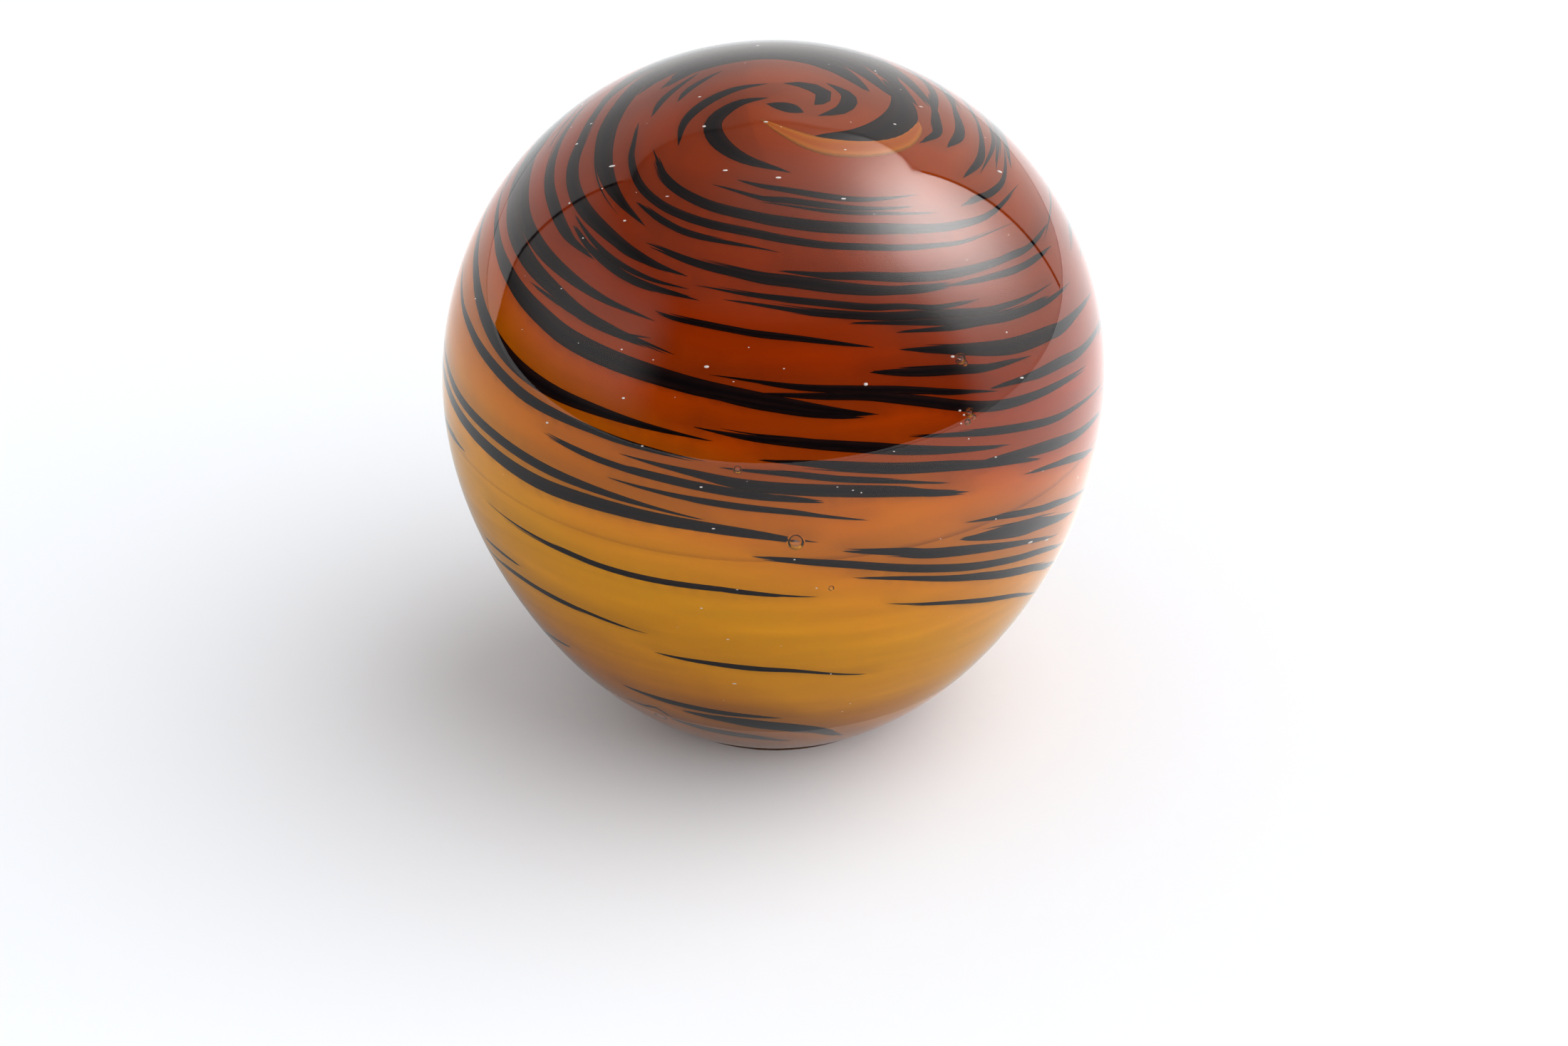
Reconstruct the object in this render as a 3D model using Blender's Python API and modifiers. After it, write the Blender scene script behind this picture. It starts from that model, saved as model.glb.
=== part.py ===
"""Art-glass paperweight: a clear casing over an amber core with a red overlay and black trails.

Metres, +Z up. The ground base stands on z = 0 and the front faces -Y. Places on the glass are
given from its middle as an azimuth (0 at the front, positive to the right) and a polar angle
(0 at the top), both in degrees. The layers of the real piece are fused; here each layer is its
own solid, and a small air gap keeps neighbouring layers apart.
"""
import math

import bpy
from mathutils import Vector

MM = 0.001

# Driving sizes
BODY_R = 40.0 * MM            # clear glass at its widest
MIDDLE_Z = 44.0 * MM          # the widest section stands this high over the base
BODY_SWELL = (0.046, 0.166)   # how much longer than round the clear glass is below its middle
BASE_CHAMFER = 0.4 * MM       # broken edge around the ground base

COLOUR_R = 33.65 * MM         # outside of the colour at its widest
COLOUR_SWELL = (0.14, 0.244)  # the same lengthening for the colour

OVERLAY_EDGE = 96.0           # polar angle of the red overlay's lower edge
OVERLAY_TOP_T = 0.8 * MM      # its thickness at the top
OVERLAY_EDGE_T = 0.4 * MM     # and at its thin lower edge
CORE_GAP = 0.5 * MM           # between the core and the overlay
STEP_GAP = 2.0                # degrees between the overlay's edge and the core's step

TRAIL_LIFT = 0.4 * MM         # from the colour to the underside of a trail
TRAIL_T = 0.5 * MM            # thickness of a trail
FOLD_T = 0.45 * MM            # thickness of the amber fold
CAVITY_LIFT = 1.35 * MM       # from the colour to the casing's inside, clear of the trails
SOCKET_LIFT = 0.35 * MM       # the same where the core fills the casing's mouth
SOCKET_POLAR = 155.0          # polar angle where the cavity narrows to that mouth

# Resolution
TURN_STEPS = 48
CORE_STEPS = 40
RING_ANGLE = 7.5              # degrees between the rings of a turned layer
TRAIL_ANGLE = 7.5             # degrees between the stations along a trail

# Crown trails: name, width, then points in degrees from the top (x to the right, y to the front)
CROWN_TRAILS = [
    ("crown_trail_comma", 2.8,
     [(-1.0, 4.6), (-6.5, 6.0), (-10.7, 10.5), (-9.7, 16.0), (-5.0, 21.0), (3.5, 24.6)]),
    ("crown_trail_arm", 2.0, [(-1.0, -0.2), (-7.0, 1.2), (-12.5, 4.6), (-16.0, 9.0), (-17.2, 15.0)]),
    ("crown_trail_inner_hook", 2.8, [(1.5, -0.3), (5.5, 0.0), (8.6, 2.0), (8.2, 4.6), (7.0, 6.2)]),
    ("crown_trail_outer_hook", 2.6, [(9.0, -1.8), (12.4, 0.6), (13.2, 3.2), (11.6, 6.8), (7.6, 9.4)]),
    ("crown_trail_drop", 2.6, [(-1.4, 6.5), (2.5, 7.6), (5.2, 8.8)]),
    ("crown_trail_crescent", 4.4,
     [(11.0, -11.0), (18.5, -7.5), (21.8, -1.0), (21.6, 5.0), (18.5, 11.0), (13.5, 13.8), (8.5, 14.4)]),
]

AMBER_FOLD = [
    ("amber_fold", 3.0,
     [(-2.6, 10.8), (2.0, 15.2), (8.5, 18.0), (16.0, 18.0), (22.8, 14.0), (26.2, 8.0), (26.6, 2.5)]),
]

# Trails around the body: name, width in degrees, then (azimuth, polar) points
BAND_TRAILS = [
    ("shoulder_trail_01", 1.4, [(-16, 25.8), (5, 27.4), (30, 31.0), (50, 35.2)]),
    ("shoulder_trail_02", 1.4, [(-24, 27.6), (5, 30.2), (25, 33.0), (45, 36.6)]),
    ("shoulder_trail_03", 2.4, [(-55, 25.8), (-30, 31.1), (5, 34.8), (45, 40.6), (75, 46.2)]),
    ("shoulder_trail_04", 1.9, [(-75, 25.5), (-45, 33.0), (-10, 36.5), (30, 41.3), (72, 49.0)]),
    ("shoulder_trail_05", 3.6, [(-112, 25.0), (-80, 31.4), (-60, 34.2), (-39, 38.8)]),
    ("shoulder_trail_06", 1.3, [(-45, 35.6), (-25, 38.0), (3, 40.6)]),
    ("shoulder_trail_07", 2.8, [(-105, 33.0), (-80, 37.8), (-60, 41.4), (-40, 43.8), (-22, 45.6)]),
    ("shoulder_trail_08", 2.4, [(-36, 42.0), (-10, 44.2), (15, 47.0), (44, 52.0)]),
    ("shoulder_trail_09", 2.3, [(-105, 40.0), (-80, 43.4), (-65, 45.7), (-48, 47.8)]),
    ("shoulder_trail_10", 1.3, [(-19, 47.6), (2, 49.7), (27, 53.8)]),
    ("shoulder_trail_11", 2.0, [(29, 47.2), (50, 50.8), (80, 56.0)]),
    ("shoulder_trail_12", 2.2, [(-78, 50.3), (-60, 51.0), (-40, 53.1), (-13, 54.9)]),
    ("shoulder_trail_13", 1.2, [(-26, 52.2), (-8, 53.9), (20, 58.0)]),
    ("shoulder_trail_14", 1.9, [(36, 53.4), (55, 56.4), (80, 60.0)]),
    ("shoulder_trail_15", 2.0, [(-95, 50.8), (-80, 53.6), (-60, 55.0), (-30, 57.0)]),
    ("waist_trail_01", 2.0, [(19, 54.4), (40, 58.6), (70, 64.2)]),
    ("waist_trail_02", 3.0, [(-80, 58.0), (-50, 61.8), (-10, 65.4), (19, 69.8)]),
    ("waist_trail_03", 2.6, [(28, 60.2), (45, 63.6), (60, 67.0), (80, 71.5)]),
    ("waist_trail_04", 1.6, [(-13, 62.9), (2, 64.2), (20, 67.2), (46, 72.4)]),
    ("waist_trail_05", 2.0, [(15, 62.2), (32, 65.9), (55, 69.5)]),
    ("waist_trail_06", 2.2, [(-82, 66.5), (-60, 69.7), (-30, 72.0), (-12, 73.2)]),
    ("waist_trail_07", 2.1, [(-15, 71.3), (5, 73.6), (25, 76.8), (46, 82.0)]),
    ("waist_trail_08", 2.0, [(-82, 72.0), (-60, 74.2), (-30, 76.2), (-13, 77.4)]),
    ("waist_trail_09", 2.1, [(-10, 75.6), (10, 77.8), (30, 81.6), (54, 88.0)]),
    ("waist_trail_10", 1.5, [(26, 74.8), (40, 77.4), (60, 82.2), (82, 86.8)]),
    ("waist_trail_11", 2.0, [(-28, 78.6), (-8, 79.6), (15, 83.8), (36, 87.9)]),
    ("waist_trail_12", 1.5, [(-45, 80.0), (-20, 81.6), (9, 84.8)]),
    ("waist_trail_13", 2.0, [(49, 82.8), (62, 86.6), (79, 90.2)]),
    ("waist_trail_14", 1.3, [(-62, 85.8), (-38, 86.4), (-13, 88.2)]),
    ("waist_trail_15", 2.0, [(-78, 86.8), (-58, 88.9), (-20, 90.0), (7, 92.2)]),
    ("lower_trail_01", 1.7, [(35, 97.0), (50, 100.6), (68, 105.4)]),
    ("lower_trail_02", 1.6, [(12, 94.6), (32, 99.2), (60, 107.2)]),
    ("lower_trail_03", 1.7, [(-3, 95.0), (20, 98.9), (40, 104.3), (60, 111.0)]),
    ("lower_trail_04", 1.5, [(14, 100.2), (35, 106.1), (62, 115.0)]),
    ("lower_trail_05", 1.5, [(-61, 100.8), (-30, 101.9), (-10, 102.2), (8, 104.0)]),
    ("lower_trail_06", 1.2, [(21, 108.0), (42, 113.9), (66, 122.5)]),
    ("lower_trail_07", 1.1, [(-74, 116.0), (-50, 114.8), (-25, 115.8)]),
    ("lower_trail_08", 1.2, [(-24, 120.8), (0, 122.2), (19, 125.5)]),
    ("lower_trail_09", 1.5, [(-38, 134.8), (-18, 136.4), (2, 138.0)]),
    ("lower_trail_10", 2.4, [(-24, 138.8), (-4, 141.2), (11, 144.5), (21, 149.0)]),
    ("lower_trail_11", 1.8, [(-40, 141.4), (-28, 143.8), (-12, 146.0), (6, 149.5)]),
    ("rear_trail_1", 3.2, [(96, 35), (140, 39), (190, 41), (236, 42)]),
    ("rear_trail_2", 2.6, [(92, 46), (130, 49), (180, 52), (240, 55)]),
    ("rear_trail_3", 3.4, [(88, 64), (130, 68), (180, 73), (244, 78)]),
    ("rear_trail_4", 2.8, [(92, 77), (130, 81), (180, 86), (236, 91)]),
    ("rear_trail_5", 2.2, [(84, 97), (120, 100), (170, 104), (220, 108)]),
    ("rear_trail_6", 2.0, [(110, 122), (150, 128), (200, 132)]),
]

# Colours: linear red, green, blue, alpha, then roughness
CLEAR_GLASS = (0.95, 0.97, 0.97, 0.30, 0.03)
AMBER_GLASS = (0.72, 0.29, 0.03, 1.0, 0.08)
RED_GLASS = (0.42, 0.05, 0.015, 1.0, 0.08)
FOLD_GLASS = (0.80, 0.36, 0.05, 1.0, 0.08)
BLACK_GLASS = (0.010, 0.007, 0.008, 1.0, 0.08)


def empty_scene():
    for old in list(bpy.data.objects):
        bpy.data.objects.remove(old, do_unlink=True)


def new_collection(name):
    group = bpy.data.collections.new(name)
    bpy.context.scene.collection.children.link(group)
    return group


def glass(name, look):
    """A Principled material from one of the colour rows above."""
    red, green, blue, alpha, roughness = look
    material = bpy.data.materials.new(name)
    material.use_nodes = True
    shader = material.node_tree.nodes["Principled BSDF"]
    shader.inputs["Base Color"].default_value = (red, green, blue, 1.0)
    shader.inputs["Alpha"].default_value = alpha
    shader.inputs["Roughness"].default_value = roughness
    shader.inputs["Metallic"].default_value = 0.0
    shader.inputs["IOR"].default_value = 1.5
    material.diffuse_color = (red, green, blue, alpha)
    return material


def new_object(name, mesh, group, look):
    body = bpy.data.objects.new(name, mesh)
    group.objects.link(body)
    mesh.materials.append(glass(name + "_glass", look))
    return body


# ---- the shape of the layers ------------------------------------------------

def reach(polar, radius, swell, lift=0.0):
    """Distance from the middle to a layer: round above the middle, longer below it."""
    low = max(0.0, -math.cos(polar)) ** 2
    return radius * (1.0 + swell[0] * low + swell[1] * low ** 2) + lift


def body_reach(polar):
    return reach(polar, BODY_R, BODY_SWELL)


def colour_reach(polar, lift=0.0):
    return reach(polar, COLOUR_R, COLOUR_SWELL, lift)


def rim_polar(layer):
    """Polar angle where a layer meets the base plane."""
    above, below = math.radians(120.0), math.pi
    for _ in range(40):
        middle = 0.5 * (above + below)
        if -math.cos(middle) * layer(middle) < MIDDLE_Z:
            above = middle
        else:
            below = middle
    return 0.5 * (above + below)


def section(layer, start, end):
    """Points (x, z) along a layer from one polar angle to another, both in radians."""
    count = max(1, round(abs(end - start) / math.radians(RING_ANGLE)))
    points = []
    for step in range(count + 1):
        polar = start + (end - start) * step / count
        out = layer(polar)
        points.append((out * math.sin(polar), MIDDLE_Z + out * math.cos(polar)))
    return points


def on_axis(point):
    return (0.0, point[1])


def turned(name, points, steps, group, look):
    """Turn a section about Z. It starts and ends on the axis."""
    mesh = bpy.data.meshes.new(name)
    edges = [(i, i + 1) for i in range(len(points) - 1)]
    mesh.from_pydata([(x, 0.0, z) for x, z in points], edges, [])
    body = new_object(name, mesh, group, look)
    screw = body.modifiers.new("turn", "SCREW")
    screw.axis = "Z"
    screw.steps = steps
    screw.render_steps = steps
    screw.use_merge_vertices = True
    screw.merge_threshold = 0.00005
    screw.use_normal_calculate = True
    return body


# ---- the turned layers ------------------------------------------------------

def clear_casing(group):
    """Thick clear outer glass. Its cavity narrows to the mouth that the core fills at the base."""
    outer_rim = rim_polar(body_reach)
    outside = section(body_reach, 0.0, outer_rim)
    outside[0] = on_axis(outside[0])
    rim_x = outside[-1][0]
    outside[-1] = (rim_x, BASE_CHAMFER)
    outside.append((rim_x - BASE_CHAMFER, 0.0))

    def mouth(polar):
        return colour_reach(polar, SOCKET_LIFT)

    def cavity(polar):
        return colour_reach(polar, CAVITY_LIFT)

    step = math.radians(SOCKET_POLAR)
    inside = section(mouth, rim_polar(mouth), step + math.radians(1.5))
    inside[0] = (inside[0][0], 0.0)
    inside += section(cavity, step, 0.0)
    inside[-1] = on_axis(inside[-1])
    return turned("clear_casing", outside + inside, TURN_STEPS, group, CLEAR_GLASS)


def overlay_thickness(polar):
    share = min(1.0, polar / math.radians(OVERLAY_EDGE))
    return OVERLAY_TOP_T + (OVERLAY_EDGE_T - OVERLAY_TOP_T) * share ** 2


def red_overlay(group):
    """Cap of red glass over the upper half, thinning towards its lower edge."""
    edge = math.radians(OVERLAY_EDGE)

    def inner(polar):
        return colour_reach(polar, -overlay_thickness(polar))

    outside = section(colour_reach, 0.0, edge)
    outside[0] = on_axis(outside[0])
    inside = section(inner, edge, 0.0)
    inside[-1] = on_axis(inside[-1])
    return turned("red_overlay", outside + inside, CORE_STEPS, group, RED_GLASS)


def amber_core(group):
    """Solid amber glass, recessed under the overlay and ground flat at the base."""
    edge = math.radians(OVERLAY_EDGE)

    def recess(polar):
        return colour_reach(polar, -overlay_thickness(polar) - CORE_GAP)

    points = section(recess, 0.0, edge)
    points[0] = on_axis(points[0])
    points += section(colour_reach, edge + math.radians(STEP_GAP), rim_polar(colour_reach))
    points[-1] = (points[-1][0], 0.0)
    points.append((0.0, 0.0))
    return turned("amber_core", points, CORE_STEPS, group, AMBER_GLASS)


# ---- trails -----------------------------------------------------------------

def aim(azimuth, polar):
    """Unit vector from the middle, from angles in degrees."""
    a = math.radians(azimuth)
    p = math.radians(polar)
    return Vector((math.sin(a) * math.sin(p), -math.cos(a) * math.sin(p), math.cos(p)))


def dial(x, y):
    """Unit vector for a point of the crown, in degrees right of the top and in front of it."""
    return aim(math.degrees(math.atan2(x, y)), math.hypot(x, y))


def on_colour(direction, lift):
    """The point of the colour layer in a direction, raised by lift."""
    unit = direction.normalized()
    polar = math.acos(max(-1.0, min(1.0, unit.z)))
    return Vector((0.0, 0.0, MIDDLE_Z)) + unit * colour_reach(polar, lift)


def along(knots, share):
    """Smooth unit vector through the knots (Catmull-Rom), share from 0 to 1."""
    spans = len(knots) - 1
    place = min(share * spans, spans - 1e-9)
    first = int(place)
    t = place - first
    p1 = knots[first]
    p2 = knots[first + 1]
    p0 = knots[first - 1] if first > 0 else p1 * 2.0 - p2
    p3 = knots[first + 2] if first + 2 <= spans else p2 * 2.0 - p1
    point = (p1 * 2.0 + (p2 - p0) * t
             + (p0 * 2.0 - p1 * 5.0 + p2 * 4.0 - p3) * t ** 2
             + (p1 * 3.0 - p0 - p2 * 3.0 + p3) * t ** 3) * 0.5
    return point.normalized()


def path_angle(knots):
    """Length of a path over the glass, in degrees."""
    return sum(math.degrees(a.angle(b)) for a, b in zip(knots, knots[1:]))


def trail(name, width, knots, thickness, group, look):
    """A leaf-shaped strip of glass that lies on the colour and is pointed at both ends."""
    stations = max(5, math.ceil(path_angle(knots) / TRAIL_ANGLE))
    half = 0.5 * math.radians(width)
    points = [on_colour(knots[0], TRAIL_LIFT)]
    for station in range(1, stations):
        share = station / stations
        here = along(knots, share)
        ahead = along(knots, share + 0.01) - along(knots, share - 0.01)
        side = here.cross(ahead).normalized()
        reach_out = half * math.sin(math.pi * share) ** 0.8
        points.append(on_colour(here + side * reach_out, TRAIL_LIFT))
        points.append(on_colour(here - side * reach_out, TRAIL_LIFT))
    points.append(on_colour(knots[-1], TRAIL_LIFT))

    last = len(points) - 1
    faces = [(0, 2, 1)]
    for left in range(1, last - 2, 2):
        faces.append((left, left + 1, left + 3, left + 2))
    faces.append((last - 2, last - 1, last))

    mesh = bpy.data.meshes.new(name)
    mesh.from_pydata(points, [], faces)
    body = new_object(name, mesh, group, look)
    skin = body.modifiers.new("thickness", "SOLIDIFY")
    skin.thickness = thickness
    skin.offset = 1.0
    return body


def main():
    empty_scene()
    group = new_collection("Paperweight")
    clear_casing(group)
    amber_core(group)
    red_overlay(group)
    for name, width, knots in AMBER_FOLD:
        trail(name, width, [dial(x, y) for x, y in knots], FOLD_T, group, FOLD_GLASS)
    for name, width, knots in CROWN_TRAILS:
        trail(name, width, [dial(x, y) for x, y in knots], TRAIL_T, group, BLACK_GLASS)
    for name, width, knots in BAND_TRAILS:
        trail(name, width, [aim(a, p) for a, p in knots], TRAIL_T, group, BLACK_GLASS)


main()
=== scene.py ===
"""Looks of the art-glass paperweight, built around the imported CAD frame.

The clear body is one solid lump of glass with the colour and its black streaks set inside it.
Metres, +Z up. Places on the glass are directions from its middle: an azimuth (0 at the front,
positive to the right) and a polar angle (0 at the top), in degrees.
"""
import math
import random

import bmesh
import bpy
import numpy as np
from mathutils import Euler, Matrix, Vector


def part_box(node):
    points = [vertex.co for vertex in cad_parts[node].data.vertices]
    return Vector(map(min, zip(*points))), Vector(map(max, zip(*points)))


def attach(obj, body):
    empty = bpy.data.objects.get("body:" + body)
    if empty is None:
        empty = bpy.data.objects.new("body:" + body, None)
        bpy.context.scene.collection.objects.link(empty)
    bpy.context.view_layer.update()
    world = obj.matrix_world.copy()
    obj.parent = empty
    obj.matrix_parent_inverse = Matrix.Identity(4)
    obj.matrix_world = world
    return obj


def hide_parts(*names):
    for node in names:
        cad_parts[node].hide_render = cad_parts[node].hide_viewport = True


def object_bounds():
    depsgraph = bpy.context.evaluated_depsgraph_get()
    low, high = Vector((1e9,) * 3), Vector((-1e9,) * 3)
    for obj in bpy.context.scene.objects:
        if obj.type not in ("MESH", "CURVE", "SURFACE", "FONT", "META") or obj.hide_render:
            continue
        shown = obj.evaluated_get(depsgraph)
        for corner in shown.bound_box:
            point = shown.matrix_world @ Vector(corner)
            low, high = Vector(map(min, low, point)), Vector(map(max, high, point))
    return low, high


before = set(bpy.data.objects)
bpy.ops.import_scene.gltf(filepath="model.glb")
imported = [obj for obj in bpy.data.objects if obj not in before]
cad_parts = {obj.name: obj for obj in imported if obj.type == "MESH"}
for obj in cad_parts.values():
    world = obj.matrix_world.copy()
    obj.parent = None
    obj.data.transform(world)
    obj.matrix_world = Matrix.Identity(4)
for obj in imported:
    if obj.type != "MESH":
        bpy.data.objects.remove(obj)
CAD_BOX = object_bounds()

MM = 0.001

# ---- sizes, from the frame --------------------------------------------------
LOW, HIGH = CAD_BOX
BODY_R = (HIGH.x - LOW.x) / 2
MIDDLE = np.array([0.0, 0.0, HIGH.z - BODY_R])
COLOUR_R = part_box("red_overlay")[1].x
# A layer is round above its middle and longer below: its radius, and two shares that lengthen it.
BODY = (BODY_R, (0.046, 0.166))
COLOUR = (COLOUR_R, (0.14, 0.244))
BODY_COLUMNS = 160
COLOUR_COLUMNS = 240
WAVINESS = 0.05 * MM           # how far the hand-shaped outside strays from round
RIM_ROUND = 0.7 * MM           # rounding of the ground edge
CORE_CLEARANCE = 0.5 * MM      # clear glass under the colour at the ground base
CORE_FOOT = CORE_CLEARANCE - 0.05 * MM
CORE_SUNK = 0.06 * MM          # depth of the core's upper half below the overlay's outside
OVERLAY_THICK = 0.05 * MM

# ---- streaks: width in degrees, then points ---------------------------------
# Crown streaks use degrees from the top: x to the right, y to the front.
CROWN = [
    (3.3, [(-1.0, 4.6), (-6.5, 6.0), (-10.7, 10.5), (-9.7, 16.0), (-5.0, 21.0), (3.2, 24.2)]),
    (2.2, [(-1.0, -0.2), (-7.0, 1.2), (-12.5, 4.6), (-16.0, 9.0), (-17.2, 15.0)]),
    (3.2, [(1.5, -0.3), (5.5, 0.0), (8.6, 2.0), (8.2, 4.6), (7.0, 6.2)]),
    (3.0, [(9.0, -1.8), (12.4, 0.6), (13.2, 3.2), (11.6, 6.8), (7.6, 9.4)]),
    (2.8, [(-1.4, 6.5), (2.5, 7.6), (5.2, 8.8)]),
    (6.0, [(19.0, -9.0), (22.6, -3.6), (23.0, 3.0), (20.0, 9.2), (14.6, 13.3), (7.0, 15.0)]),
    (1.5, [(-13.0, -8.0), (-19.5, -1.0), (-22.0, 4.2)]),
    (1.4, [(-9.0, -7.0), (-14.8, -2.0), (-17.2, 1.8)]),
]
FOLD = (4.8, [(-2.6, 10.8), (2.0, 14.4), (6.7, 16.7), (11.6, 16.9), (17.6, 14.9), (23.0, 10.8),
              (25.7, 5.5), (26.0, 2.7)])

# Streaks around the body use (azimuth, polar) points.
SHOULDER = [
    (1.5, [(-15, 26.2), (-5, 27.1), (8, 28.4), (18, 30.0), (28, 31.8), (38, 33.3), (50, 35.2)]),
    (1.5, [(-24, 28.0), (-5, 29.6), (5, 30.2), (15, 31.5), (25, 33.2), (35, 34.9), (46, 36.8)]),
    (0.9, [(-5, 30.5), (15, 32.7), (28, 34.7), (42, 37.4), (51, 39.5)]),
    (2.7, [(-58, 25.8), (-50, 27.4), (-43, 29.2), (-33, 30.8), (-20, 32.3), (-5, 33.6), (5, 34.7),
           (15, 36.0), (25, 37.4), (35, 39.1), (45, 41.3), (55, 43.3), (68, 45.5), (88, 48.0)]),
    (1.9, [(-80, 24.8), (-70, 26.9), (-62, 29.6), (-53, 31.9), (-44, 33.6), (-33, 34.9),
           (-20, 35.8), (-5, 36.8), (5, 38.1), (15, 39.6), (25, 41.1), (35, 43.0), (45, 44.9),
           (55, 46.8), (74, 50.2)]),
    (4.8, [(-168, 21.5), (-142, 23.5), (-120, 25.6), (-105, 27.6), (-90, 29.9), (-80, 31.6),
           (-70, 33.5), (-60, 35.4), (-50, 37.1), (-38, 39.3)]),
    (1.4, [(-46, 35.8), (-33, 37.4), (-20, 38.6), (2, 40.4)]),
    (3.2, [(-140, 30.0), (-120, 31.4), (-105, 33.3), (-90, 35.8), (-80, 38.6), (-70, 40.5),
           (-60, 41.8), (-50, 42.8), (-40, 44.1), (-30, 45.3), (-21, 46.1)]),
    (2.6, [(-36, 42.0), (-20, 43.3), (-5, 44.9), (5, 45.8), (15, 47.4), (25, 49.2), (35, 50.8),
           (45, 52.4)]),
    (2.8, [(-118, 38.5), (-104, 40.0), (-91, 42.2), (-80, 44.1), (-70, 45.4), (-62, 46.7),
           (-56, 47.5), (-47, 48.3)]),
    (1.2, [(-62, 43.6), (-50, 45.6), (-40, 47.1), (-30, 48.0), (-20, 48.3)]),
    (1.7, [(-60, 45.2), (-50, 46.9), (-38, 48.7), (-28, 49.4), (-17, 50.0)]),
    (1.4, [(-19, 47.4), (-5, 48.2), (8, 49.4), (21, 51.6), (29, 52.8), (38, 54.9), (49, 56.5)]),
    (1.8, [(-12, 49.3), (5, 50.9), (15, 52.3), (25, 53.9), (35, 55.5), (42, 57.0), (48, 58.5),
           (55, 59.9), (62, 61.1), (73, 62.8)]),
    (2.1, [(1, 43.7), (12, 44.9), (22, 46.1), (32, 48.0), (42, 49.9), (52, 51.5), (62, 53.1),
           (72, 54.9), (88, 57.0)]),
    (3.4, [(-150, 41.5), (-130, 43.6), (-110, 46.4), (-98, 48.6), (-80, 50.8), (-66, 51.9),
           (-53, 52.8), (-40, 53.9), (-26, 55.0)]),
    (1.3, [(-27, 53.2), (-20, 53.8), (-5, 54.9), (5, 55.8), (14, 57.3), (21, 58.8)]),
    (1.5, [(42, 51.9), (55, 54.2), (66, 56.3), (81, 58.9)]),
    (3.8, [(-146, 44.0), (-126, 46.0), (-106, 49.6), (-94, 52.0), (-80, 53.9), (-66, 55.2),
           (-53, 56.3), (-40, 57.9), (-20, 60.1)]),
    (1.0, [(-62, 57.8), (-46, 58.2), (-35, 58.6), (-26, 58.0)]),
    (1.7, [(16, 54.0), (28, 55.6), (38, 57.6), (48, 59.9), (58, 62.0), (70, 64.0)]),
    (1.5, [(60, 41.0), (68, 42.1), (75, 43.5), (85, 44.6), (104, 45.4)]),
    (1.8, [(70, 37.8), (82, 38.9), (92, 39.2), (112, 40.5)]),
    (2.2, [(70, 28.0), (82, 29.9), (92, 29.6), (112, 30.0)]),
    (2.4, [(78, 32.6), (92, 34.4), (112, 35.0)]),
]
WAIST = [
    (1.6, [(26, 57.0), (38, 58.8), (47, 60.2), (55, 62.0), (65, 63.8), (80, 66.2)]),
    (4.1, [(-104, 56.4), (-92, 57.4), (-80, 58.6), (-70, 59.6), (-62, 60.6), (-53, 61.6),
           (-45, 62.6), (-35, 63.3), (-25, 64.0), (-15, 64.9), (-5, 65.9), (5, 67.5), (12, 68.8),
           (20, 70.5)]),
    (2.0, [(-20, 65.0), (-8, 66.6), (2, 68.0), (10, 69.2), (19, 70.4)]),
    (3.4, [(26, 60.0), (38, 62.7), (48, 65.5), (55, 67.2), (65, 69.1), (72, 70.4), (90, 73.4)]),
    (1.7, [(-13, 62.6), (4, 64.1), (15, 65.4), (25, 67.0), (35, 69.5), (46, 72.8)]),
    (2.3, [(-4, 65.3), (8, 66.0), (18, 66.9), (28, 69.5), (38, 73.0), (46, 75.3), (55, 76.9),
           (65, 78.4), (75, 80.3)]),
    (2.1, [(19, 62.9), (28, 64.4), (38, 66.3), (45, 68.1), (57, 70.2)]),
    (3.4, [(-112, 60.5), (-95, 63.6), (-85, 65.8), (-75, 68.2), (-65, 70.4), (-55, 71.9),
           (-45, 72.6), (-35, 72.8), (-25, 73.2), (-11, 74.2)]),
    (2.4, [(-15, 72.0), (-5, 73.1), (5, 74.1), (17, 76.0), (25, 77.8), (35, 80.2), (47, 83.2)]),
    (2.3, [(44, 71.6), (55, 73.4), (65, 75.0), (75, 77.1), (94, 80.0)]),
    (2.4, [(-98, 70.4), (-84, 72.5), (-75, 73.4), (-68, 74.2), (-55, 75.6), (-48, 76.1),
           (-38, 76.4), (-28, 76.9), (-12, 78.0)]),
    (2.4, [(-3, 77.1), (5, 77.7), (12, 78.7), (22, 80.6), (32, 82.5), (38, 84.0), (48, 86.8),
           (55, 89.2)]),
    (1.3, [(-10, 78.8), (2, 79.6), (12, 81.2), (22, 83.1), (33, 86.0)]),
    (1.7, [(25, 75.4), (35, 77.4), (42, 79.1), (52, 81.6), (60, 83.6), (68, 85.0), (84, 88.0)]),
    (2.7, [(-29, 79.3), (-15, 80.3), (-5, 81.7), (12, 83.4), (22, 85.0), (28, 86.6), (37, 88.9)]),
    (1.9, [(-46, 80.5), (-32, 81.6), (-18, 82.3), (-5, 83.5), (2, 84.3), (9, 85.4)]),
    (1.4, [(-31, 84.3), (-18, 85.0), (-8, 85.7), (2, 86.7), (8, 87.8), (17, 89.8)]),
    (2.6, [(36, 83.6), (45, 85.1), (55, 87.2), (62, 88.9), (68, 90.2), (82, 92.4)]),
    (2.2, [(-100, 83.4), (-88, 84.6), (-75, 86.0), (-60, 86.4), (-45, 87.0), (-35, 87.3),
           (-25, 87.8), (-12, 89.0)]),
    (3.2, [(-104, 85.4), (-90, 87.3), (-75, 89.0), (-58, 90.0), (-46, 90.4), (-35, 90.1),
           (-25, 90.0), (-12, 90.3), (-2, 91.2), (8, 93.2)]),
    (1.7, [(50, 90.3), (62, 93.1), (68, 95.0), (78, 98.2)]),
]
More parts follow.
